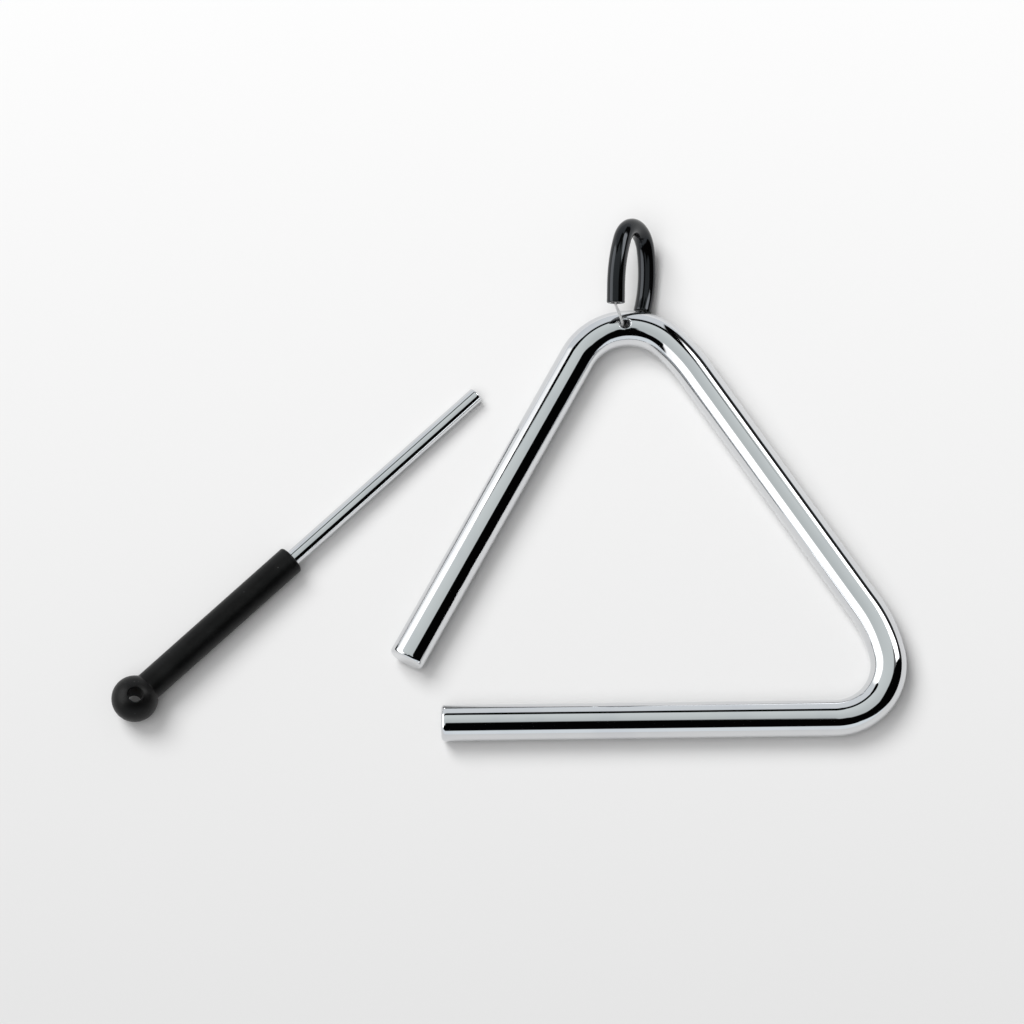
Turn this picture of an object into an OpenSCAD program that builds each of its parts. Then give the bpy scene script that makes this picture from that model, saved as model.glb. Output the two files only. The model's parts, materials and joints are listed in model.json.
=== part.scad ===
// A small triangle instrument with its beater, lying flat on a table.
// A steel rod bent to an open triangle hangs from a nylon line, which passes through a cross hole
// in the top bend and runs inside a soft tube that loops round a finger.
// The beater is a steel rod pushed into a rubber grip with a ball end.
// Millimetres. X runs along the base, Y towards the holder, Z up from the table.

/* [Triangle bar] */
// Diameter of the steel bar
bar_d = 8; // [6:0.5:11]
// Straight length of the base, from its open end to the bottom corner
base_len = 86; // [80:0.5:105]
// Centreline radius of the bottom corner
corner_r = 12; // [10:0.1:15]
// Turn of the bottom corner, in degrees
corner_turn = 102.3; // [99:0.1:105]
// Centreline radius of the slow curve that leads out of the bottom corner
corner_ease_r = 31.4; // [25:0.2:40]
// Turn of that slow curve, in degrees
corner_ease = 21.4; // [18:0.1:24]
// Straight length of the right side
side_len = 64.9; // [60:0.1:72]
// Centreline radius of the slow curve that leads into the top bend
top_ease_r = 41.4; // [32:0.2:50]
// Turn of that slow curve, in degrees
top_ease = 12.1; // [9:0.1:15]
// Centreline radius of the top bend
top_r = 13.1; // [11:0.1:16]
// Turn of the top bend, in degrees
top_turn = 104.9; // [102:0.1:107]
// Straight length of the left side, down to its open end
leg_len = 79; // [70:0.5:84]
// Rounding of the edge of both cut ends
end_round = 0.9; // [0.3:0.1:2]
// Cross hole for the line, in the top bend
hole_d = 2; // [1.6:0.1:3]
// Width of the countersink at both mouths of the cross hole
sink_d = 2.9; // [2.4:0.1:4]
// How far short of the top bend's middle the hole lies, in degrees
hole_turn = 4.9; // [-8:0.1:8]

/* [Nylon line] */
// Diameter of the line
line_d = 0.6; // [0.4:0.05:0.8]
// Room between the line and the bar over it where it runs out from under the bend
line_clear = 0.15; // [0.05:0.05:0.4]
// Diameter of the knot that joins the line's ends inside the tube
knot_d = 1.7; // [1:0.1:1.8]
// Length of the knot
knot_len = 3; // [2:0.2:5]

/* [Holder tube] */
// Outer diameter of the tube
tube_d = 4; // [3.2:0.1:5]
// Bore of the tube
tube_bore = 2; // [1.9:0.1:2.6]
// Room between the two legs of the loop and the bar that they straddle
straddle_clear = 0.1; // [0:0.1:2]
// Straight end of the front leg
front_straight = 3.95; // [2:0.05:8]
// Radius of the slow curve that follows it
front_curl_r = 24.6; // [18:0.2:32]
// Turn of that curve, in degrees
front_curl = 26; // [20:1:32]
// Turn of the tight curve at the top of the loop, in degrees
top_curl = 136.5; // [128:0.5:144]
// Radius of the slow curve of the back leg
back_curl_r = 19.5; // [15:0.5:28]
// Turn of that curve, in degrees
back_curl = 37.5; // [30:0.5:44]
// Straight end of the back leg
back_straight = 2.2; // [1:0.1:5]
// Rounding of the tube's cut ends
tube_round = 0.2; // [0.1:0.05:0.4]

/* [Beater] */
// Diameter of the beater's rod
rod_d = 3.6; // [3:0.1:5]
// From the middle of the ball to the rod's tip
beater_len = 102.6; // [90:0.2:130]
// How deep the rod is pushed into the grip, from the grip's mouth
rod_in_grip = 34; // [20:1:38]
// Rounding of the rod's ends
rod_round = 0.4; // [0.2:0.1:0.8]
// Diameter of the grip
grip_d = 6.5; // [6:0.1:8.5]
// From the middle of the ball to the grip's mouth
grip_len = 46.7; // [44:0.2:60]
// Rounding of the grip's mouth
grip_round = 0.5; // [0.3:0.1:0.9]
// Diameter of the ball at the grip's end
ball_d = 10.2; // [9.6:0.1:13]
// Diameter of the hole through the ball
eye_d = 3.2; // [2.4:0.1:4.2]
// Rounding of the mouths of the hole through the ball
eye_round = 0.3; // [0.1:0.1:0.5]
// Room all round the rod in the grip
push_clear = 0.02; // [0:0.01:0.1]

/* [How the set lies] */
// Turn of the base from the X axis, in degrees
base_turn = 0.75; // [-3:0.05:3]
// Back end of the loop, to the right of the hole
loop_side = 3.95; // [3:0.05:5]
// Room between the back end of the loop and the bar
loop_back_clear = 0.45; // [0.2:0.05:1.5]
// Turn of the loop about the vertical, in degrees
loop_yaw = 1; // [-4:0.5:6]
// Rise of the loop towards its top, in degrees
loop_pitch = 9.6; // [6:0.2:13]
// Lean of the loop's plane from the horizontal, in degrees
loop_roll = 60; // [56:1:68]
// Middle of the ball, to the left of the hole
beater_left = 107.4; // [105:0.2:125]
// Middle of the ball, below the hole
beater_below = 85; // [75:0.1:95]
// Turn of the beater from the X axis, in degrees
beater_turn = 43.4; // [38:0.2:48]
// Roll of the beater about its own axis, in degrees
beater_roll = 5; // [-20:1:20]

/* [Hidden] */
$fn = 64;
over = 1;
// Straights and bends meet inside a ball as thick as the bar or tube. They are thinner than the ball
// by this much in radius, and each stops short of its middle by this gap.
draw = 0.01;
join_gap = 0.03;

bar_r = bar_d / 2;
tube_r = tube_d / 2;
line_r = line_d / 2;
rod_r = rod_d / 2;
ball_r = ball_d / 2;
grip_r = grip_d / 2;

// The bar's run in its own plane, from the base's open end at the origin, ahead along X and always
// turning left. At each heading the bar stands off the centre of its curve this way.
function off(heading) = [sin(heading), -cos(heading)];
function along(heading) = [cos(heading), sin(heading)];
corner_end = corner_turn;
side_heading = corner_end + corner_ease;
top_start = side_heading + top_ease;
leg_heading = top_start + top_turn;
corner_centre = [base_len, corner_r];
corner_ease_centre = corner_centre + (corner_r - corner_ease_r) * off(corner_end);
corner_ease_start = corner_centre + corner_r * off(corner_end);
side_start = corner_ease_centre + corner_ease_r * off(side_heading);
side_end = side_start + side_len * along(side_heading);
top_ease_centre = side_end - top_ease_r * off(side_heading);
top_centre = top_ease_centre + (top_ease_r - top_r) * off(top_start);
top_start_at = top_centre + top_r * off(top_start);
leg_start = top_centre + top_r * off(leg_heading);
hole_at = top_centre + top_r * off(top_start + top_turn / 2 - hole_turn);

// The line runs out under the top bend, so the bend is held a little off the table by it.
sink_drop = bar_r - sqrt(pow(bar_r, 2) - pow(sink_d / 2, 2));
top_lift = max(0, line_d + line_clear - sink_drop);
plane_tilt = asin(top_lift / hole_at[1]);

// A vector turned about X, about Y and about Z, as rotate() turns it.
function about_x(v, a) = [v[0], v[1] * cos(a) - v[2] * sin(a), v[1] * sin(a) + v[2] * cos(a)];
function about_y(v, a) = [v[0] * cos(a) + v[2] * sin(a), v[1], v[2] * cos(a) - v[0] * sin(a)];
function about_z(v, a) = [v[0] * cos(a) - v[1] * sin(a), v[0] * sin(a) + v[1] * cos(a), v[2]];
function unit(v) = v / norm(v);

// From the triangle's plane to the table, with the hole's axis over the origin.
function tilted(p) = about_z(about_x([p[0], p[1], 0], plane_tilt), base_turn);
hole_shift = tilted(hole_at);
function on_table(p) = tilted(p) - [hole_shift[0], hole_shift[1], -bar_r];
hole_mid = on_table(hole_at);

// The loop is flat in its own plane: X from the front leg to the back one, Y towards its top.
// A heading of 0 runs up the front leg; the loop turns right as its heading grows.
function out(t) = [-cos(t), sin(t)];
function ahead(t) = [sin(t), cos(t)];
top_end = front_curl + top_curl;
last_end = top_end + back_curl;
loop_spread = bar_d + tube_d + straddle_clear;
top_curl_r = (loop_spread - front_curl_r * (1 - cos(front_curl))
              - back_curl_r * (cos(top_end) - cos(last_end)) - back_straight * sin(last_end))
             / (cos(front_curl) - cos(top_end));
front_centre = (top_curl_r - front_curl_r) * out(front_curl);
back_centre = (top_curl_r - back_curl_r) * out(top_end);
front_bend_end = front_centre + front_curl_r * out(0);
front_end = front_bend_end - front_straight * ahead(0);
back_bend_end = back_centre + back_curl_r * out(last_end);
back_end = back_bend_end + back_straight * ahead(last_end);

// From the loop's plane to the table: the back leg touches the table at its lowest point, and the
// back end stands off the bar.
function leaned(p) = about_z(about_x(about_y([p[0], p[1], 0], loop_roll), loop_pitch), -loop_yaw);
loop_across = leaned([1, 0]);
loop_along = leaned([0, 1]);
low_heading = 180 + atan2(loop_along[2], -loop_across[2]);
low_spot = low_heading < last_end ? back_centre + back_curl_r * out(low_heading) : back_end;
bend_mid = on_table(top_centre);
back_radius = top_r + bar_r + loop_back_clear;
back_place = [loop_side, bend_mid[1] + sqrt(pow(back_radius, 2) - pow(loop_side - bend_mid[0], 2))];
loop_at = [back_place[0] - leaned(back_end)[0], back_place[1] - leaned(back_end)[1],
           tube_r - leaned(low_spot)[2]];
function on_loop(p) = leaned(p) + loop_at;

// The beater rests on its ball and on the tip of its rod.
beater_slope = asin((ball_r - rod_r) / (beater_len - rod_round));
beater_at = [-beater_left, -beater_below, ball_r];

// The origin is on the table, under the middle of the set's box.
base_low = on_table([end_round, 0]);
corner_far = on_table(corner_centre);
set_x = [-beater_left - ball_r, corner_far[0] + corner_r + bar_r];
loop_reach = top_curl_r * sqrt(pow(loop_along[1], 2) + pow(loop_across[1], 2));
set_y = [base_low[1] - bar_r * cos(base_turn), loop_at[1] + loop_reach + tube_r];
set_mid = [(set_x[0] + set_x[1]) / 2, (set_y[0] + set_y[1]) / 2, 0];

// The line's open run, from the front end of the tube, down the hole and on to the back end.
line_sides = 10;
line_steps = 5;
front_open = on_loop(front_end);
back_open = on_loop(back_end);
front_pull = leaned(-ahead(0));
back_pull = leaned(ahead(last_end));
// How far the line can lie from the hole's axis, and its way to each side of the hole.
in_hole = hole_d / 2 - line_r - line_clear;
to_front = [-in_hole, 0, 0];
to_back = in_hole * unit([back_open[0], back_open[1], 0]);
sink_deep = (sink_d - hole_d) / 2;
// The line wraps the underside of the bend at this distance from the bend's centreline.
wrap_r = bar_r + line_clear + line_r;
wrap_from = atan2(-bend_mid[1], -bend_mid[0]);
wrap_turn = atan2(back_open[1] - bend_mid[1], back_open[0] - bend_mid[0]) - wrap_from;
function wrap(share, climb) =
    let (way = wrap_from + wrap_turn * share, reach = top_r + wrap_r * sin(climb))
    [bend_mid[0] + reach * cos(way), bend_mid[1] + reach * sin(way),
     hole_mid[2] - wrap_r * cos(climb)];
wrap_shares = [0.42, 0.66, 0.84];
wrap_climbs = [24, 38, 51];
// Shares of a stretch, and of the line's clearance that is left between it and the table.
way_share = 0.5;
floor_share = 1 / 3;
line_knots = [
    front_open,
    front_open + front_pull * line_d,
    front_open + (hole_mid + to_front + [0, 0, bar_r] - front_open) * way_share,
    hole_mid + to_front + [0, 0, bar_r],
    hole_mid + to_front + [0, -in_hole * way_share, bar_r - sink_d / 2],
    hole_mid,
    hole_mid + to_back * way_share - [0, 0, bar_r - sink_deep - line_d],
    hole_mid + to_back - [0, 0, bar_r - sink_deep],
    [way_share * line_d, way_share * line_d, line_r + line_clear * floor_share - hole_mid[2]]
        + hole_mid + to_back,
    wrap(wrap_shares[0], wrap_climbs[0]),
    wrap(wrap_shares[1], wrap_climbs[1]),
    wrap(wrap_shares[2], wrap_climbs[2]),
    back_open + back_pull * line_d,
    back_open
];

module turned_rod(length, r, round_start, round_end) {
    // Axis along X from the origin, with a rounded edge at either end.
    rotate([0, 90, 0])
        rotate_extrude()
            union() {
                translate([0, round_start]) square([r, length - round_start - round_end]);
                square([r - max(round_start, round_end), length]);
                if (round_start > 0) {
                    square([r - round_start, length / 2]);
                    translate([r - round_start, round_start]) circle(r = round_start);
                }
                if (round_end > 0) {
                    translate([0, length / 2]) square([r - round_end, length / 2]);
                    translate([r - round_end, length - round_end]) circle(r = round_end);
                }
            }
}

module bend(centre, radius, from, turn, r) {
    // Part of a ring, from one angle round its centre on to the next.
    gap_turn = join_gap / radius * 180 / PI;
    translate(centre)
        rotate([0, 0, from + gap_turn])
            rotate_extrude(angle = turn - 2 * gap_turn) translate([radius, 0]) circle(r = r - draw);
}

module join_balls(places, r) {
    for (place = places) translate(place) sphere(r = r);
}

module cross_hole() {
    cylinder(h = bar_d + 2 * over, r = hole_d / 2, center = true);
    for (side = [0, 180])
        rotate([side, 0, 0])
            translate([0, 0, bar_r - (sink_d - hole_d) / 2])
                cylinder(h = over, r1 = hole_d / 2, r2 = hole_d / 2 + over);
}

module triangle_bar() {
    color([0.78, 0.79, 0.8])
        translate([-hole_shift[0], -hole_shift[1], bar_r] - set_mid)
            rotate([0, 0, base_turn])
                rotate([plane_tilt, 0, 0])
                    difference() {
                        union() {
                            turned_rod(base_len - join_gap, bar_r - draw, end_round, 0);
                            bend(corner_centre, corner_r, -90, corner_turn, bar_r);
                            bend(corner_ease_centre, corner_ease_r, corner_end - 90, corner_ease, bar_r);
                            translate(side_start + join_gap * along(side_heading))
                                rotate([0, 0, side_heading])
                                    turned_rod(side_len - 2 * join_gap, bar_r - draw, 0, 0);
                            bend(top_ease_centre, top_ease_r, side_heading - 90, top_ease, bar_r);
                            bend(top_centre, top_r, top_start - 90, top_turn, bar_r);
                            translate(leg_start + join_gap * along(leg_heading))
                                rotate([0, 0, leg_heading])
                                    turned_rod(leg_len - join_gap, bar_r - draw, 0, end_round);
                            join_balls([[base_len, 0], corner_ease_start, side_start, side_end,
                                        top_start_at, leg_start], bar_r);
                        }
                        translate(hole_at) cross_hole();
                    }
}

// Points along a smooth curve through the knots, each knot's slope set by its neighbours.
function knot(k) = line_knots[min(max(k, 0), len(line_knots) - 1)];
function slope_at(k) =
    let (back = knot(k) - knot(k - 1), on = knot(k + 1) - knot(k),
         pace = norm(back) == 0 ? norm(on) : norm(on) == 0 ? norm(back) : min(norm(back), norm(on)))
    pace * unit(back + on);
function between(k, t) =
    (2 * pow(t, 3) - 3 * pow(t, 2) + 1) * knot(k) + (pow(t, 3) - 2 * pow(t, 2) + t) * slope_at(k)
    + (3 * pow(t, 2) - 2 * pow(t, 3)) * knot(k + 1) + (pow(t, 3) - pow(t, 2)) * slope_at(k + 1);
line_last = (len(line_knots) - 1) * line_steps;
line_route = [for (i = [0 : line_last])
    i == line_last ? back_open : between(floor(i / line_steps), (i % line_steps) / line_steps)];

function line_way(i) = i == 0 ? unit(front_pull) : i == line_last ? unit(-back_pull)
    : unit(line_route[i + 1] - line_route[i - 1]);
// A direction square to the line that is carried along it without twisting.
line_sides_at = [for (i = 0, side = unit(cross(line_way(0), loop_along - loop_across));
                      i <= line_last;
                      i = i + 1,
                      side = i > line_last ? side
                          : unit(side - (side * line_way(i)) * line_way(i))) side];
line_rings = [for (i = [0 : line_last], s = [0 : line_sides - 1])
    line_route[i] + line_r * (cos(360 * s / line_sides) * line_sides_at[i]
        + sin(360 * s / line_sides) * cross(line_way(i), line_sides_at[i]))];

module nylon_line() {
    color([0.9, 0.92, 0.94, 0.6])
        translate(-set_mid)
            polyhedron(
                points = line_rings,
                faces = concat(
                    [[for (s = [0 : line_sides - 1]) s]],
                    [[for (s = [line_sides - 1 : -1 : 0]) line_last * line_sides + s]],
                    [for (i = [0 : line_last - 1], s = [0 : line_sides - 1])
                        let (a = i * line_sides + s, b = i * line_sides + (s + 1) % line_sides)
                            [b, a, b + line_sides]],
                    [for (i = [0 : line_last - 1], s = [0 : line_sides - 1])
                        let (a = i * line_sides + s, b = i * line_sides + (s + 1) % line_sides)
                            [b + line_sides, a, a + line_sides]]
                )
            );
}

module loop_path(r, rounding, overrun) {
    // The whole run of the loop in its own plane, past both ends by the overrun.
    translate(front_end - overrun * ahead(0))
        rotate([0, 0, 90])
            turned_rod(front_straight + overrun - join_gap, r - draw, rounding, 0);
    bend(front_centre, front_curl_r, 180 - front_curl, front_curl, r);
    bend([0, 0], top_curl_r, 180 - top_end, top_curl, r);
    bend(back_centre, back_curl_r, 180 - last_end, back_curl, r);
    translate(back_end + overrun * ahead(last_end))
        rotate([0, 0, 270 - last_end])
            turned_rod(back_straight + overrun - join_gap, r - draw, rounding, 0);
    join_balls([front_bend_end, top_curl_r * out(front_curl), top_curl_r * out(top_end), back_bend_end], r);
}

module lay_loop() {
    translate(loop_at - set_mid)
        rotate([0, 0, -loop_yaw]) rotate([loop_pitch, 0, 0]) rotate([0, loop_roll, 0]) children();
}

module holder_tube() {
    color([0.05, 0.05, 0.055])
        lay_loop()
            difference() {
                loop_path(tube_r, tube_round, 0);
                loop_path(tube_bore / 2, 0, over);
            }
}

module line_in_tube() {
    knot_heading = front_curl / 2;
    color([0.9, 0.92, 0.94, 0.6])
        lay_loop() {
            loop_path(line_r, 0, 0);
            translate(front_centre + front_curl_r * out(knot_heading))
                rotate([0, 0, 90 - knot_heading])
                    translate([-knot_len / 2, 0, 0])
                        turned_rod(knot_len, knot_d / 2, knot_d / 4, knot_d / 4);
        }
}

module lay_beater() {
    translate(beater_at - set_mid)
        rotate([0, beater_slope, beater_turn])
            rotate([beater_roll, 0, 0]) children();
}

module beater_rod() {
    color([0.78, 0.79, 0.8])
        lay_beater()
            translate([grip_len - rod_in_grip, 0, 0])
                turned_rod(beater_len - grip_len + rod_in_grip, rod_r, rod_round, rod_round);
}

module beater_grip() {
    color([0.1, 0.1, 0.1])
        lay_beater()
            difference() {
                union() {
                    sphere(r = ball_r);
                    turned_rod(grip_len, grip_r, 0, grip_round);
                }
                translate([grip_len - rod_in_grip, 0, 0])
                    rotate([0, 90, 0])
                        cylinder(h = rod_in_grip + over, r = rod_r + push_clear);
                cylinder(h = ball_d + over, r = eye_d / 2, center = true);
                for (side = [0, 180])
                    rotate([side, 0, 0])
                        translate([0, 0, sqrt(pow(ball_r, 2) - pow(eye_d / 2 + eye_round, 2)) - eye_round])
                            cylinder(h = over, r1 = eye_d / 2, r2 = eye_d / 2 + over);
            }
}

triangle_bar();
nylon_line();
line_in_tube();
holder_tube();
beater_rod();
beater_grip();
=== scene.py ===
# A small triangle instrument that lies flat on a table with its beater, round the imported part.
import json
import math

import bmesh
import bpy
from mathutils import Matrix, Vector


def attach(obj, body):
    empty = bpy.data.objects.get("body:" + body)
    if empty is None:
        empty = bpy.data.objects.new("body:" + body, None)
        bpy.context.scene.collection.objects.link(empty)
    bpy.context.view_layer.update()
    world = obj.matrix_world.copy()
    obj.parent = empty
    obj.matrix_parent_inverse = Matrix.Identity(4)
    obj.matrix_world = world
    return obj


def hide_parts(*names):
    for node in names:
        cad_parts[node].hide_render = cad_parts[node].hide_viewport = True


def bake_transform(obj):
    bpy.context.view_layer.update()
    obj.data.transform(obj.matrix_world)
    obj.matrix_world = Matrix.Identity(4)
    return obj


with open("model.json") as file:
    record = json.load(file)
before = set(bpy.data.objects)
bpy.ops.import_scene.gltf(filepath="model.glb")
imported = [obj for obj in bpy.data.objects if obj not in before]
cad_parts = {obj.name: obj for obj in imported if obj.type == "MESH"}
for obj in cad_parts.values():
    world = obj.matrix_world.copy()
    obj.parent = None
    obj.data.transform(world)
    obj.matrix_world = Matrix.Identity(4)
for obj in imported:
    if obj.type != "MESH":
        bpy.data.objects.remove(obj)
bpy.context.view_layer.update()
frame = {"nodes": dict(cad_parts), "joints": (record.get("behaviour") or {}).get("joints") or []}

# ---- Camera -------------------------------------------------------------------------------------
# A long lens 1.3 m above the table, leaning 16 degrees from straight down towards the near side,
# where the base of the triangle lies. Sizes are in millimetres, and angles in degrees.
MM = 0.001
CAMERA_LEAN = math.radians(16)
CAMERA_AIM = Vector((0.53, -7.2, 4)) * MM
CAMERA_AWAY = 1322.4 * MM
CAMERA_SENSOR = 36
CAMERA_LENS = 210.94
CAMERA_REACH = 20

camera = bpy.data.objects.new("camera", bpy.data.cameras.new("camera"))
bpy.context.scene.collection.objects.link(camera)
camera.data.sensor_width = CAMERA_SENSOR
camera.data.lens = CAMERA_LENS
camera.data.clip_end = CAMERA_REACH
camera.rotation_euler = (CAMERA_LEAN, 0, 0)
camera.location = CAMERA_AIM + CAMERA_AWAY * Vector(
    (0, -math.sin(CAMERA_LEAN), math.cos(CAMERA_LEAN)))
bpy.context.scene.camera = camera

# ---- Triangle bar -------------------------------------------------------------------------------
# One round steel rod, bent twice over a former and left open at the lower left. Both cut ends are
# rounded, the top bend is cross drilled and countersunk, and all of it is chrome plated. It rests
# on its base and, at the top bend, on the line that passes under it.
BAR_R = 4.0
BAR_ROUND = 0.9
BASE_LEN = 86.0
# Each bend of the bar: its centreline radius and turn, and the straight that follows it. The lower
# right corner and the top bend each have a gentler bend beside them.
BAR_BENDS = [(12.0, 102.3, 0), (31.4, 21.4, 64.9), (41.4, 12.1, 0), (13.1, 104.9, 79.0)]
BEND_STEP = 1.5
TOP_R = BAR_BENDS[-1][0]
TOP_STEP = 0.6
HOLE_SHORT_OF_MIDDLE = 4.9
HOLE_R = 1.0
SINK_R = 1.45
SINK_ROUND = 0.06
SINK_ROUNDS = 8
SINK_CLEAR = 0.2
BAR_SIDES = 128
BAR_TURN = 0.75
# A narrow ring at each end of a straight keeps its shading straight between them.
GUARD = 0.3
WELD = 1e-5
# Only faces that look at least this much along a cross hole are cut away for its mouths.
MOUTH_FACING = 0.3


def only(kind, geometry):
    return [part for part in geometry if isinstance(part, kind)]


def new_rim(shape, rim):
    """Extrudes an open edge of a shape. Returns the new edge and its corners, not yet moved."""
    made = bmesh.ops.extrude_edge_only(shape, edges=rim)["geom"]
    corners = only(bmesh.types.BMVert, made)
    fresh = set(corners)
    rim = [edge for edge in only(bmesh.types.BMEdge, made) if fresh.issuperset(edge.verts)]
    return rim, corners


def end_cap(shape, radius, rounding, sides, steps=10):
    """A flat disc facing back along X with a rounded edge. Returns the open edge it ends in."""
    disc = bmesh.ops.create_circle(shape, cap_ends=True, radius=radius - rounding,
                                   segments=sides)["verts"]
    bmesh.ops.rotate(shape, verts=disc, matrix=Matrix.Rotation(math.radians(90), 3, "Y"))
    rim = list({edge for vert in disc for edge in vert.link_edges})
    for step in range(steps):
        rim, corners = new_rim(shape, rim)
        before, after = (math.radians(90) * turn / steps for turn in (step, step + 1))
        grow = ((radius - rounding + rounding * math.sin(after))
                / (radius - rounding + rounding * math.sin(before)))
        bmesh.ops.scale(shape, vec=(1, grow, grow), verts=corners)
        bmesh.ops.translate(shape, verts=corners,
                            vec=(rounding * (math.cos(before) - math.cos(after)), 0, 0))
    return rim


def draw_on(shape, rim, way, steps=1):
    """Draws the open end of a rod on along a straight."""
    for _ in range(steps):
        rim, corners = new_rim(shape, rim)
        bmesh.ops.translate(shape, vec=way / steps, verts=corners)
    return rim


def straight_on(shape, rim, way):
    """Draws the open end of a rod on along a straight, with a guard ring at both of its ends."""
    guard = GUARD * way.normalized()
    for part in (guard, way - 2 * guard, guard):
        rim = draw_on(shape, rim, part)
    return rim


def bend_on(shape, rim, centre, turn, steps):
    """Draws the open end of a rod on round a bend in its own plane; a left turn is positive."""
    corners = list({vert for edge in rim for vert in edge.verts})
    last = bmesh.ops.spin(shape, geom=corners + rim, cent=centre, axis=(0, 0, 1), angle=turn,
                          steps=steps)["geom_last"]
    return only(bmesh.types.BMEdge, last)


def ordered_loop(rim):
    """The corners of a closed loop of edges, one after the other."""
    edge = rim[0]
    vert = edge.verts[0]
    loop = [vert]
    wanted = set(rim)
    while len(loop) < len(rim):
        vert = edge.other_vert(vert)
        loop.append(vert)
        edge = next(e for e in vert.link_edges if e in wanted and e is not edge)
    return loop


def pierce(shape, middle, clear, bore_r, mouth_at, bore_from):
    """A cross hole along Z, cut out with some clearance and closed again up to its mouths. mouth_at
    gives a mouth's radius and height for a way round the hole, and bore_from is the height where
    the straight bore starts. Returns the rims of the two mouths and of the two ends of the bore."""
    mouths, bores = [], []
    for side in (1, -1):
        over = [face for face in shape.faces if face.normal.z * side > MOUTH_FACING
                and (face.calc_center_median() - middle).xy.length < clear]
        bmesh.ops.delete(shape, geom=over, context="FACES")
        rim = [edge for edge in shape.edges if edge.is_boundary and edge.verts[0].co.z * side > 0
               and (edge.verts[0].co - middle).xy.length < 2 * clear]
        for reach_of, rims in ((mouth_at, mouths), (lambda way: (bore_r, bore_from), bores)):
            rim, _ = new_rim(shape, rim)
            loop = ordered_loop(rim)
            ways = [math.atan2(vert.co.y - middle.y, vert.co.x - middle.x) for vert in loop]
            step = math.tau / len(loop) * (1 if (ways[1] - ways[0]) % math.tau < math.pi else -1)
            drift = [(way - ways[0] - step * count + math.pi) % math.tau - math.pi
                     for count, way in enumerate(ways)]
            start = ways[0] + sum(drift) / len(drift)
            for count, vert in enumerate(loop):
                way = start + step * count
                reach, height = reach_of(way)
                vert.co = (middle.x + reach * math.cos(way), middle.y + reach * math.sin(way),
                           side * height)
            rims.extend(rim)
    bmesh.ops.bridge_loops(shape, edges=bores)
    return mouths, bores


def finished(shape, name, place, flat=()):
    """Turns a shape in millimetres into an object of the scene, in its place and in metres."""
    bmesh.ops.remove_doubles(shape, verts=shape.verts[:], dist=WELD)
    bmesh.ops.recalc_face_normals(shape, faces=shape.faces[:])
    for face in shape.faces:
        face.smooth = True
    for face in flat:
        face.smooth = False
    bmesh.ops.transform(shape, matrix=Matrix.Scale(MM, 4) @ place, verts=shape.verts[:])
    mesh = bpy.data.meshes.new(name)
    shape.to_mesh(mesh)
    shape.free()
    piece = bpy.data.objects.new(name, mesh)
    bpy.context.scene.collection.objects.link(piece)
    return piece


def stand_off(heading):
    """The way to the right of a heading, to the outside of a left turn."""
    return Vector((math.sin(heading), -math.cos(heading), 0))


def bar_shape():
    """The bar flat in its own plane, base first, and the middle of its cross hole."""
    shape = bmesh.new()
    rim = end_cap(shape, BAR_R, BAR_ROUND, BAR_SIDES)
    rim = straight_on(shape, rim, Vector((BASE_LEN - BAR_ROUND, 0, 0)))
    at, heading = Vector((BASE_LEN, 0, 0)), 0.0
    for radius, turn, straight in BAR_BENDS:
        centre = at - radius * stand_off(heading)
        step = TOP_STEP if radius == TOP_R else BEND_STEP
        rim = bend_on(shape, rim, centre, math.radians(turn), round(turn / step))
        if radius == TOP_R:
            top_centre = centre
            hole_heading = heading + math.radians(turn / 2 - HOLE_SHORT_OF_MIDDLE)
        heading += math.radians(turn)
        along = Vector((math.cos(heading), math.sin(heading), 0))
        at = centre + radius * stand_off(heading) + straight * along
        if straight and radius != TOP_R:
            rim = straight_on(shape, rim, straight * along)
    # The last straight stops a guard short of its cap, and the bridge makes up for it.
    rim = draw_on(shape, rim, GUARD * along)
    rim = draw_on(shape, rim, (straight - BAR_ROUND - 2 * GUARD) * along)
    cap_start = len(shape.verts)
    far_rim = end_cap(shape, BAR_R, BAR_ROUND, BAR_SIDES)
    shape.verts.ensure_lookup_table()
    bmesh.ops.transform(shape, verts=shape.verts[cap_start:],
                        matrix=Matrix.Translation(at) @ Matrix.Rotation(heading + math.pi, 4, "Z"))
    bmesh.ops.bridge_loops(shape, edges=rim + far_rim)
    bmesh.ops.recalc_face_normals(shape, faces=shape.faces[:])
    hole = top_centre + TOP_R * stand_off(hole_heading)

    def surface(way, reach):
        """The height of the bar's surface at a way and a reach from the middle of the hole."""
        from_centre = (hole + reach * Vector((math.cos(way), math.sin(way), 0)) - top_centre).length
        return math.sqrt(BAR_R ** 2 - (from_centre - TOP_R) ** 2)

    sink_floor = BAR_R - (SINK_R - HOLE_R)

    def mouth(way):
        """Where the cone of the countersink, at 45 degrees, comes out of the bar."""
        reach = SINK_R
        for _ in range(SINK_ROUNDS):
            reach = HOLE_R + surface(way, reach) - sink_floor
        return reach, surface(way, reach)

    mouths, bores = pierce(shape, hole, SINK_R + SINK_CLEAR, HOLE_R, mouth, sink_floor)
    bmesh.ops.bevel(shape, geom=mouths + bores, offset=SINK_ROUND, segments=3, profile=0.5,
                    affect="EDGES", material=-1)
    return shape, hole


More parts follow.
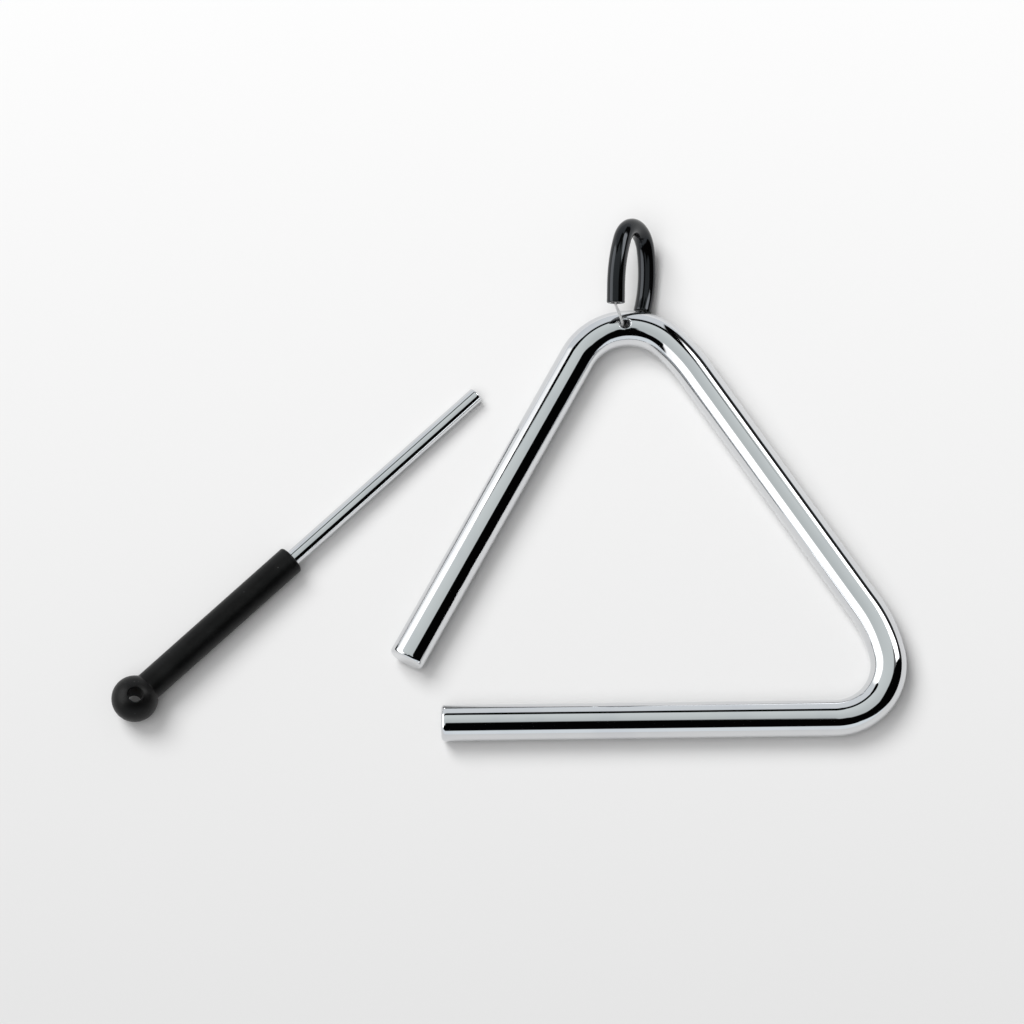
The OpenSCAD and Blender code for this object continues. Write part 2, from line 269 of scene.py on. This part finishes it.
# The holder swings about the cross hole, so its joint says where the middle of the hole lies.
swing = next(joint for joint in frame["joints"] if joint["name"] == "holder_swing")
hole_lies = Vector(swing["pos_m"]) / MM
bar, hole_in_bar = bar_shape()
flat_ends = [face for face in bar.faces if len(face.verts) == BAR_SIDES]
bar_lean = math.asin((hole_lies.z - BAR_R) / hole_in_bar.y)
lie = Matrix.Rotation(math.radians(BAR_TURN), 4, "Z") @ Matrix.Rotation(bar_lean, 4, "X")
bar_place = Matrix.Translation(hole_lies - lie @ hole_in_bar) @ lie
triangle = finished(bar, "triangle", bar_place, flat_ends)
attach(triangle, "triangle")
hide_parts("triangle_bar")


class Tone:
    """A socket of a shader. Sums and products of it become Math nodes in its own tree."""

    def __init__(self, tree, socket=None):
        self.tree, self.socket = tree, socket

    def node(self, kind, settings=None, inputs=None, out=0):
        """Any other node: its settings first, then the values or links of its sockets."""
        made = self.tree.nodes.new("ShaderNode" + kind)
        for name, value in (settings or {}).items():
            setattr(made, name, value)
        for name, value in (inputs or {}).items():
            if isinstance(value, Tone):
                self.tree.links.new(value.socket, made.inputs[name])
            else:
                made.inputs[name].default_value = value
        return Tone(self.tree, made.outputs[out] if made.outputs else None)

    def maths(self, operation, first, second):
        return self.node("Math", {"operation": operation}, {0: first, 1: second})

    def __add__(self, other):
        return self.maths("ADD", self, other)

    def __radd__(self, other):
        return self.maths("ADD", other, self)

    def __mul__(self, other):
        return self.maths("MULTIPLY", self, other)

    def __rmul__(self, other):
        return self.maths("MULTIPLY", other, self)

    def spread(self, low, high):
        """Runs smoothly from 0 to 1 as this tone goes from low to high."""
        return self.node("MapRange", {"interpolation_type": "SMOOTHSTEP"},
                         {"Value": self, "From Min": low, "From Max": high})

    def blend(self, under, upper):
        """This tone as the share of the upper colour over the one under it."""
        return self.node("Mix", {"data_type": "RGBA"}, {"Factor": self, "A": under, "B": upper},
                         "Result")


def new_finish(name):
    """A bare material: its tree, and the Tone of its Object coordinates."""
    finish = bpy.data.materials.new(name)
    finish.use_nodes = True
    finish.node_tree.nodes.clear()
    return finish, Tone(finish.node_tree).node("TexCoord", out="Object")


def to_surface(finish, shader):
    shader.node("OutputMaterial", inputs={"Surface": shader})
    return finish


CHROME_BRIGHT = (0.70, 0.71, 0.72, 1)
CHROME_DULL = (0.66, 0.67, 0.69, 1)


def chrome_finish():
    finish, place = new_finish("chrome plate")
    cloud = place.node("TexNoise", inputs={"Vector": place, "Scale": 90, "Detail": 3})
    fine = place.node("TexNoise", inputs={"Vector": place, "Scale": 2600, "Detail": 2})
    relief = place.node("Bump", inputs={"Height": cloud * 0.7 + fine * 0.02, "Strength": 0.04,
                                        "Distance": 0.0004})
    dull = cloud.spread(0.45, 0.75)
    shader = place.node("BsdfPrincipled", inputs={
        "Base Color": dull.blend(CHROME_BRIGHT, CHROME_DULL), "Metallic": 1,
        "Roughness": 0.035 + dull * 0.03, "Normal": relief})
    return to_surface(finish, shader)


chrome = chrome_finish()
triangle.data.materials.append(chrome)

# ---- Nylon line ---------------------------------------------------------------------------------
# One loop of clear fishing line, knotted inside the tube. It drops from the front end of the tube
# through the hole in the bar, turns out under the bend and climbs to the tube's back end.
LINE_R = 0.3
# The knots of its run, from the front mouth of the tube on: across the table from the middle of
# the hole, and height above the table.
LINE_RUN = [
    (-2.12, 3.23, 12.95), (-2.12, 2.88, 12.89), (-1.33, 1.61, 10.71),  # out of the tube and down
    (-0.55, 0.00, 8.48), (-0.55, -0.28, 7.03), (0.00, 0.00, 4.48),  # in at the upper mouth
    (0.14, 0.28, 1.53), (0.20, 0.55, 0.93), (0.40, 0.95, 0.35),  # and out at the lower one
    (1.25, 1.98, 0.40), (2.36, 2.78, 0.88), (3.17, 3.55, 1.51),  # close under the bend of the bar
    (3.92, 3.96, 2.55), (3.95, 4.22, 2.50)]  # and into the back mouth of the tube
LINE_UPPER = 3
LINE_LOWER = 8
LINE_END = len(LINE_RUN) - 1
LINE_EASE = 0.5
LINE_STEP = 0.25
LINE_ROUNDNESS = 6
NYLON_CLEAR = (0.96, 0.97, 0.97, 1)
NYLON_MILKY = (0.99, 0.99, 0.99, 1)

under_hole = Vector((hole_lies.x, hole_lies.y, 0))
line_knots = [Vector(knot) + under_hole for knot in LINE_RUN]


def line_heading(k):
    """The way the line runs at a knot, halfway between its two stretches there."""
    back = (line_knots[k] - line_knots[max(k - 1, 0)]).normalized()
    on = (line_knots[min(k + 1, LINE_END)] - line_knots[k]).normalized()
    return (back + on).normalized()


def line_point(place):
    """A point of the line's run, at a count of stretches from its front end."""
    k = min(int(place), LINE_END - 1)
    t, start, end = place - k, line_knots[k], line_knots[k + 1]
    pace = LINE_EASE * (end - start).length
    return ((2 * t ** 3 - 3 * t ** 2 + 1) * start
            + (t ** 3 - 2 * t ** 2 + t) * pace * line_heading(k)
            + (3 * t ** 2 - 2 * t ** 3) * end
            + (t ** 3 - t ** 2) * pace * line_heading(k + 1))


def line_stretch(name, first, last):
    """The line from one knot of its run to another, as a closed tube."""
    route = bpy.data.curves.new(name, "CURVE")
    route.dimensions = "3D"
    route.bevel_depth = LINE_R * MM
    route.bevel_resolution = LINE_ROUNDNESS
    route.use_fill_caps = True
    places = [first]
    for k in range(first, last):
        steps = max(1, round((line_knots[k + 1] - line_knots[k]).length / LINE_STEP))
        places += [k + step / steps for step in range(1, steps + 1)]
    spline = route.splines.new("POLY")
    spline.points.add(len(places) - 1)
    for point, place in zip(spline.points, places):
        point.co = (*(line_point(place) * MM), 1)
    made = bpy.data.objects.new(name + "_route", route)
    bpy.context.scene.collection.objects.link(made)
    evaluated = made.evaluated_get(bpy.context.evaluated_depsgraph_get())
    mesh = bpy.data.meshes.new_from_object(evaluated)
    bpy.data.objects.remove(made)
    mesh.name = name
    mesh.materials.clear()
    shape = bmesh.new()
    shape.from_mesh(mesh)
    bmesh.ops.remove_doubles(shape, verts=shape.verts[:], dist=WELD * MM)
    bmesh.ops.recalc_face_normals(shape, faces=shape.faces[:])
    for face in shape.faces:
        face.smooth = len(face.verts) == 4
    shape.to_mesh(mesh)
    shape.free()
    piece = bpy.data.objects.new(name, mesh)
    bpy.context.scene.collection.objects.link(piece)
    return piece


def nylon_finish():
    finish, place = new_finish("clear nylon")
    streak = place.node("TexNoise", inputs={"Vector": place, "Scale": 700, "Detail": 2})
    shader = place.node("BsdfPrincipled", inputs={
        "Base Color": streak.spread(0.3, 0.7).blend(NYLON_CLEAR, NYLON_MILKY),
        "Roughness": 0.3 + streak * 0.12, "IOR": 1.42, "Transmission Weight": 0.35})
    return to_surface(finish, shader)


nylon = nylon_finish()
line_front = line_stretch("line_front", 0, LINE_UPPER)
line_middle = line_stretch("line_middle", LINE_UPPER, LINE_LOWER)
line_back = line_stretch("line_back", LINE_LOWER, LINE_END)
line_point(LINE_UPPER) * MM
line_point(0) * MM
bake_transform(line_front)
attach(line_middle, "line")
line_point(LINE_LOWER) * MM
line_point(LINE_END) * MM
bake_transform(line_back)
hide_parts("nylon_line")
for stretch in (line_front, line_middle, line_back):
    stretch.data.materials.append(nylon)
# The rest of the loop, with its knot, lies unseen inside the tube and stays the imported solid.
line_inside = frame["nodes"]["line_in_tube"]
line_inside.data.materials.clear()
line_inside.data.materials.append(nylon)

# ---- Holder tube --------------------------------------------------------------------------------
# A length of glossy black PVC tube, cut square at both ends and pulled into a narrow loop by the
# line inside it. It straddles the top bend and lies back from it, its back leg on the table.
TUBE_R = 2.0
TUBE_BORE_R = 1.0
TUBE_ROUND = 0.2
TUBE_SQUARE = math.radians(60)
TUBE_FRONT_STRAIGHT = 3.95
TUBE_BACK_STRAIGHT = 2.2
# The tube's curves from its front end on: radius, and turn to the right.
TUBE_CURLS = [(24.6, 26.0), (5.7415, 136.5), (19.5, 37.5)]
TUBE_SIDES = 96
# The middle of its narrow top bend, from the table under the hole, and how the loop lies there:
# rolled about its length, raised at its top, and turned on the table.
LOOP_TOP = Vector((1.936, 16.311, 8.451))
LOOP_ROLL = 60
LOOP_RISE = 9.6
LOOP_TURN = -1
TUBE_BLACK = (0.001, 0.001, 0.001, 1)
TUBE_CLOUDY = (0.003, 0.003, 0.003, 1)
# Painted reflection colour: a bluish tint given to the tube's highlights.
TUBE_PAINTED_HIGHLIGHT_TINT = (0.86, 0.92, 1, 1)


def tube_shape():
    """The tube flat in the plane of its loop, round the middle of its narrow bend."""
    shape = bmesh.new()
    front_r, first_turn = TUBE_CURLS[0][0], math.radians(TUBE_CURLS[0][1])
    top_r = TUBE_CURLS[1][0]
    ahead = Vector((0, 1, 0))
    at = ((top_r - front_r) * Vector((-math.cos(first_turn), math.sin(first_turn), 0))
          - Vector((front_r, 0, 0)))
    ring = bmesh.ops.create_circle(shape, radius=TUBE_R, segments=TUBE_SIDES)["verts"]
    bmesh.ops.rotate(shape, verts=ring, matrix=Matrix.Rotation(math.radians(90), 3, "X"))
    bmesh.ops.translate(shape, verts=ring, vec=at - TUBE_FRONT_STRAIGHT * ahead)
    # Both straights are drawn in steps, so that their shading stays straight up to the ends.
    rim = draw_on(shape, shape.edges[:], TUBE_FRONT_STRAIGHT * ahead, steps=8)
    heading = 0.0
    for radius, turn in TUBE_CURLS:
        right = Vector((math.cos(heading), -math.sin(heading), 0))
        centre = at + radius * right
        rim = bend_on(shape, rim, centre, -math.radians(turn), round(turn))
        heading += math.radians(turn)
        at = centre - radius * Vector((math.cos(heading), -math.sin(heading), 0))
    ahead = Vector((math.sin(heading), math.cos(heading), 0))
    draw_on(shape, rim, TUBE_BACK_STRAIGHT * ahead, steps=5)
    bmesh.ops.recalc_face_normals(shape, faces=shape.faces[:])
    bmesh.ops.solidify(shape, geom=shape.faces[:], thickness=TUBE_R - TUBE_BORE_R)
    sharp = [edge for edge in shape.edges if len(edge.link_faces) == 2
             and edge.calc_face_angle(0) > TUBE_SQUARE]
    bmesh.ops.bevel(shape, geom=sharp, offset=TUBE_ROUND, segments=4, profile=0.5,
                    affect="EDGES", material=-1)
    return shape


def tube_finish():
    finish, place = new_finish("glossy black tube")
    cloud = place.node("TexNoise", inputs={"Vector": place, "Scale": 160, "Detail": 3})
    fine = place.node("TexNoise", inputs={"Vector": place, "Scale": 1800, "Detail": 2})
    relief = place.node("Bump", inputs={"Height": cloud + fine * 0.02, "Strength": 0.08,
                                        "Distance": 0.0004})
    # Its highlights take the painted bluish tint.
    shader = place.node("BsdfPrincipled", inputs={
        "Base Color": cloud.spread(0.3, 0.7).blend(TUBE_BLACK, TUBE_CLOUDY),
        "Roughness": 0.05 + cloud * 0.06, "Specular IOR Level": 0.38,
        "Specular Tint": TUBE_PAINTED_HIGHLIGHT_TINT, "Normal": relief})
    return to_surface(finish, shader)


loop_place = (Matrix.Translation(under_hole + LOOP_TOP)
              @ Matrix.Rotation(math.radians(LOOP_TURN), 4, "Z")
              @ Matrix.Rotation(math.radians(LOOP_RISE), 4, "X")
              @ Matrix.Rotation(math.radians(LOOP_ROLL), 4, "Y"))
holder = finished(tube_shape(), "holder", loop_place)
holder.data.materials.append(tube_finish())
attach(holder, "holder")
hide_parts("holder_tube")

# ---- Beater rod ---------------------------------------------------------------------------------
# A straight steel rod, rounded at both ends, chrome plated like the bar and pushed into the grip.
# It runs along X from the middle of the grip's ball. The beater lies on that ball and on its tip.
ROD_R = 1.8
ROD_ROUND = 0.4
ROD_FROM = 12.7
ROD_TO = 102.6
LATHE_SIDES = 128
BALL_R = 5.1
BALL_PLACE = Vector((-81.816, -49.911, BALL_R))
BEATER_TURN = 43.4
EYE_LEAN = 5

beater_slope = math.asin((BALL_R - ROD_R) / (ROD_TO - ROD_ROUND))
beater_place = (Matrix.Translation(BALL_PLACE)
                @ Matrix.Rotation(math.radians(BEATER_TURN), 4, "Z")
                @ Matrix.Rotation(beater_slope, 4, "Y")
                @ Matrix.Rotation(math.radians(EYE_LEAN), 4, "X"))


def outline_on(shape, last, points):
    """Carries a half outline on from its last corner through the points, each (along X, radius)."""
    for along, radius in points:
        corner = shape.verts.new((along, 0, radius))
        if last:
            shape.edges.new((last, corner))
        last = corner
    return last


def soften_corner(shape, along, radius, rounding, segments=8):
    """Rounds the corner of a half outline that is nearest to a point."""
    corner = min(shape.verts, key=lambda vert: (vert.co - Vector((along, 0, radius))).length)
    bmesh.ops.bevel(shape, geom=[corner], offset=rounding, segments=segments, profile=0.5,
                    affect="VERTICES", material=-1)


def turn_round(shape):
    """Turns a half outline round the X axis."""
    bmesh.ops.spin(shape, geom=shape.verts[:] + shape.edges[:], cent=(0, 0, 0), axis=(1, 0, 0),
                   angle=math.tau, steps=LATHE_SIDES, use_merge=True)
    bmesh.ops.remove_doubles(shape, verts=shape.verts[:], dist=WELD)
    bmesh.ops.recalc_face_normals(shape, faces=shape.faces[:])


def rod_shape():
    shape = bmesh.new()
    outline_on(shape, None, [
        (ROD_FROM, 0), (ROD_FROM, ROD_R), (ROD_FROM + ROD_ROUND + GUARD, ROD_R),
        (ROD_TO - ROD_ROUND - GUARD, ROD_R), (ROD_TO, ROD_R),
        (ROD_TO, ROD_R - ROD_ROUND - GUARD), (ROD_TO, 0)])
    soften_corner(shape, ROD_FROM, ROD_R, ROD_ROUND)
    soften_corner(shape, ROD_TO, ROD_R, ROD_ROUND)
    turn_round(shape)
    return shape


rod = finished(rod_shape(), "rod", beater_place)
rod.data.materials.append(chrome)
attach(rod, "beater")
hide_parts("beater_rod")

# ---- Beater grip --------------------------------------------------------------------------------
# One moulding of matte black rubber: a round grip with a ball at its end, and a cross hole in the
# ball for hanging it up. The rod sticks in its bore by the rubber's own grip.
GRIP_R = 3.25
GRIP_MOUTH = 46.7
GRIP_ROUND = 0.5
GRIP_BORE_R = 1.82
BORE_ROUND = 0.12
BALL_STEPS = 52
CREASE_ROUND = 0.25
EYE_R = 1.6
EYE_ROUND = 0.3
EYE_CLEAR = 0.45
EYE_FLARE = 0.01
EYE_LIP = 1
RUBBER_BLACK = (0.002, 0.002, 0.002, 1)
RUBBER_WORN = (0.005, 0.005, 0.005, 1)
RUBBER_DUST = (0.25, 0.25, 0.25, 1)


def grip_shape():
    """The grip along X from the middle of its ball, with the blind bore for the rod."""
    shape = bmesh.new()
    pole = shape.verts.new((-BALL_R, 0, 0))
    crease_turn = math.pi - math.asin(GRIP_R / BALL_R)
    bmesh.ops.spin(shape, geom=[pole], cent=(0, 0, 0), axis=(0, 1, 0), angle=crease_turn,
                   steps=BALL_STEPS)
    last = max(shape.verts, key=lambda vert: vert.co.x)
    crease = last.co.copy()
    outline_on(shape, last, [
        (crease.x + CREASE_ROUND + GUARD, GRIP_R), (GRIP_MOUTH - GRIP_ROUND - GUARD, GRIP_R),
        (GRIP_MOUTH, GRIP_R), (GRIP_MOUTH, GRIP_BORE_R), (ROD_FROM, GRIP_BORE_R), (ROD_FROM, 0)])
    soften_corner(shape, GRIP_MOUTH, GRIP_R, GRIP_ROUND)
    soften_corner(shape, GRIP_MOUTH, GRIP_BORE_R, BORE_ROUND, 4)
    soften_corner(shape, ROD_FROM, GRIP_BORE_R, BORE_ROUND, 4)
    soften_corner(shape, crease.x, crease.z, CREASE_ROUND, 5)
    turn_round(shape)
    rim_height = math.sqrt(BALL_R ** 2 - EYE_R ** 2)
    mouths, _ = pierce(shape, Vector((0, 0, 0)), EYE_R + EYE_CLEAR, EYE_R,
                       lambda way: (EYE_R + EYE_FLARE, rim_height), rim_height - EYE_LIP)
    bmesh.ops.bevel(shape, geom=mouths, offset=EYE_ROUND, segments=5, profile=0.5,
                    affect="EDGES", material=-1)
    return shape


def rubber_finish():
    finish, place = new_finish("matte black rubber")
    cloud = place.node("TexNoise", inputs={"Vector": place, "Scale": 220, "Detail": 4})
    grain = place.node("TexNoise", inputs={"Vector": place, "Scale": 5200, "Detail": 2})
    dust = place.node("TexVoronoi", inputs={"Vector": place, "Scale": 900}, out="Distance")
    specks = dust.spread(0.16, 0.06) * cloud.spread(0.5, 0.62)
    relief = place.node("Bump", inputs={"Height": grain, "Strength": 0.35, "Distance": 0.00004})
    clean = cloud.spread(0.35, 0.7).blend(RUBBER_BLACK, RUBBER_WORN)
    shader = place.node("BsdfPrincipled", inputs={
        "Base Color": (specks * 0.2).blend(clean, RUBBER_DUST),
        "Roughness": 0.32 + grain * 0.14, "Specular IOR Level": 0.15, "Normal": relief})
    return to_surface(finish, shader)


grip = finished(grip_shape(), "grip", beater_place)
grip.data.materials.append(rubber_finish())
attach(grip, "beater")
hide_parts("beater_grip")

# ---- Table top ----------------------------------------------------------------------------------
# Plain white paper laid flat over a table. The photographed sheet gets less light towards the near
# side; that falloff is painted shade, so the paper's colour turns a little greyer there.
PAPER_HALF = 6000
PAPER_NEAR_PAINTED_SHADE = (0.735, 0.735, 0.735, 1)
PAPER_FAR = (0.92, 0.92, 0.92, 1)
PAPER_FADE = 120 * MM


def paper_finish():
    finish, place = new_finish("white paper")
    across = place.node("SeparateXYZ", inputs={"Vector": place}, out="Y")
    # Painted shade: the paper's colour runs from the greyer near colour to PAPER_FAR at the far
    # side.
    shade = across.node("MapRange", inputs={"Value": across, "From Min": -PAPER_FADE,
                                            "From Max": PAPER_FADE})
    shader = place.node("BsdfDiffuse", inputs={"Color": shade.blend(PAPER_NEAR_PAINTED_SHADE, PAPER_FAR)})
    return to_surface(finish, shader)


sheet = bmesh.new()
bmesh.ops.create_grid(sheet, x_segments=1, y_segments=1, size=PAPER_HALF)
table_top = finished(sheet, "table_top", Matrix.Identity(4))
table_top.data.materials.append(paper_finish())

# ---- Studio -------------------------------------------------------------------------------------
# Two large round lamps light the set, one from the far left and one from almost overhead. Polished
# surfaces see the studio as flat cards far away: grey walls and a grey card overhead, black
# screens on the near, right and far sides, and two white boxes.
bpy.context.scene.view_settings.view_transform = "Standard"
WALL_NEAR = (0.86, 0.91, 0.95, 1)
WALL_FAR = (0.80, 0.83, 0.86, 1)
OVERHEAD_NEAR = (0.61, 0.648, 0.648, 1)
OVERHEAD_FAR = (0.77, 0.815, 0.815, 1)
OVERHEAD_EDGE = (50, 44)
SCREEN_BLACK = (0.0015, 0.0015, 0.0015, 1)
SHADED_GREY = (0.17, 0.17, 0.17, 1)
DUSK_GREY = (0.02, 0.02, 0.02, 1)
BOX_EDGE_WHITE = (1.36, 1.36, 1.36, 1)
BOX_LEFT_WHITE = (3.5, 3.5, 3.5, 1)
BOX_RIGHT_WHITE = (6, 6, 6, 1)
CARD_SOFT = 0.015
AMBIENT = (0.192, 0.192, 0.192, 1)
BACKDROP = (0.93, 0.93, 0.93, 1)
LAMP_AWAY = 30
# Each card covers those before it. It is a shade, then its corners in turn, as a turn from X, an
# angle from straight up and, where it isn't CARD_SOFT, how soft the edge is that starts there.
CARDS = [
    # The black screen, from the near left round to the right, and its top edge over the near side.
    (SCREEN_BLACK, (-148, 44, 0.03), (-118, 35), (-118, 64, 0.03), (-148, 78)),
    (SCREEN_BLACK, (-120, 36, 0.03), (-94, 21), (-94, 65, 0.03), (-120, 65)),
    (SCREEN_BLACK, (-96, 21, 0.03), (-60, 20), (-60, 69, 0.03), (-96, 65)),
    (SCREEN_BLACK, (-62, 22, 0.03), (-40, 33), (-40, 80, 0.03), (-62, 66)),
    (SCREEN_BLACK, (-42, 32, 0.03), (-20, 36), (-20, 92, 0.03), (-42, 78)),
    (SCREEN_BLACK, (-22, 35, 0.03), (0, 29, 0.03), (18, 35), (18, 100), (-22, 100)),
    (SCREEN_BLACK, (-102, 14, 0.05), (-78, 12, 0.03), (-76, 28), (-104, 28, 0.03)),
    # A narrow black flag along the far side, and its edge at the right.
    (SCREEN_BLACK, (66, 31, 0.03), (92, 36.5), (92, 51, 0.04), (66, 46)),
    (SCREEN_BLACK, (90, 38, 0.03), (121, 34, 0.02), (121, 46, 0.04), (90, 51)),
    (SCREEN_BLACK, (57, 30), (67, 30), (67, 76, 0.03), (57, 76)),
    # The dim floor and wall round the right box.
    (SHADED_GREY, (16, 33), (34, 35, 0.04), (34, 44), (16, 46)),
    (DUSK_GREY, (16, 76), (58, 58), (58, 78, 0.03), (16, 96)),
    # Both boxes are plain white at their edges and brighter inside them.
    (BOX_EDGE_WHITE, (17.5, 46, 0.03), (57.5, 41), (57.5, 56, 0.02), (28, 73, 0.02), (17.5, 69)),
    (BOX_RIGHT_WHITE, (18.5, 49), (56.5, 44), (56.5, 53), (28, 70), (18.5, 66)),
    (BOX_EDGE_WHITE, (129, 45, 0.03), (183, 39), (183, 87, 0.03), (137, 84, 0.03)),
    (BOX_EDGE_WHITE, (177, 39, 0.04), (-147, 38), (-147, 84, 0.03), (177, 87)),
    (BOX_LEFT_WHITE, (133, 50), (183, 44), (183, 82), (141, 79)),
    (BOX_LEFT_WHITE, (177, 44), (-152, 43), (-152, 78), (177, 82)),
    # The tip of the black flag, which thins out along the upper half of the left leg.
    (SCREEN_BLACK, (119, 34, 0.005), (127.2, 37, 0.005), (133.4, 47.5, 0.005),
     (132.4, 54, 0.005), (119, 47, 0.005))]


def towards(turn, lean):
    """A direction, from its turn from X and its angle from straight up."""
    return (Matrix.Rotation(math.radians(turn), 3, "Z")
            @ Matrix.Rotation(math.radians(lean), 3, "Y") @ Vector((0, 0, 1)))


world = bpy.data.worlds.new("studio")
bpy.context.scene.world = world
world.use_nodes = True
world.node_tree.nodes.clear()
world.cycles.sampling_method = "NONE"
way_out = Tone(world.node_tree).node("TexCoord", out="Generated")


def share_of_card(corners):
    """How far the way a ray goes is inside a card, from 0 to 1."""
    ways = [towards(*corner[:2]) for corner in corners]
    middle = sum(ways, Vector((0, 0, 0)))
    share = 1
    for first, second, corner in zip(ways, ways[1:] + ways[:1], corners):
        edge = first.cross(second).normalized()
        inside = way_out.node("VectorMath", {"operation": "DOT_PRODUCT"},
                              {0: way_out, 1: edge if edge.dot(middle) > 0 else -edge}, "Value")
        soft = corner[2] if len(corner) > 2 else CARD_SOFT
        share = inside.spread(-soft, soft) * share
    return share


up, north = (way_out.node("SeparateXYZ", inputs={"Vector": way_out}, out=axis) for axis in "ZY")
walls = north.spread(-0.6, 0.6).blend(WALL_NEAR, WALL_FAR)
overhead = north.spread(-0.3, 0.6).blend(OVERHEAD_NEAR, OVERHEAD_FAR)
seen = up.spread(*(math.cos(math.radians(lean)) for lean in OVERHEAD_EDGE)).blend(walls, overhead)
for shade, *corners in CARDS:
    seen = share_of_card(corners).blend(seen, shade)

# Only polished and clear surfaces see the cards. The camera sees the backdrop, and all else takes
# an even light from round about.
rays = way_out.node("LightPath", out="Is Camera Ray")
glossy, through, diffused = (Tone(rays.tree, rays.socket.node.outputs[kind])
                             for kind in ("Is Glossy Ray", "Is Transmission Ray", "Diffuse Depth"))
polished = (glossy + through) * diffused.spread(1, 0)
plain = rays.node("Background", inputs={"Color": rays.blend(AMBIENT, BACKDROP)})
mirrored = rays.node("Background", inputs={"Color": seen})
both = rays.node("MixShader", inputs={0: polished, 1: plain, 2: mirrored})
both.node("OutputWorld", inputs={"Surface": both})


def soft_box(name, turn, lean, radius, share):
    """A round lamp, its radius as a share of how far away it is. share is the part of the light on
    the table that it gives, where 1 shows a white sheet at its plain level."""
    way = towards(turn, lean)
    lamp = bpy.data.lights.new(name, "AREA")
    lamp.shape = "DISK"
    lamp.size = 2 * radius * LAMP_AWAY
    lamp.energy = share * (math.pi * LAMP_AWAY) ** 2 / way.z
    box = bpy.data.objects.new(name, lamp)
    bpy.context.scene.collection.objects.link(box)
    box.location = way * LAMP_AWAY
    box.rotation_euler = way.to_track_quat("Z", "Y").to_euler()
    box.visible_glossy = box.visible_transmission = box.visible_camera = False


soft_box("left_box", 135, 37, 0.30, 0.56)
soft_box("over_box", -138, 21, 0.48, 0.455)
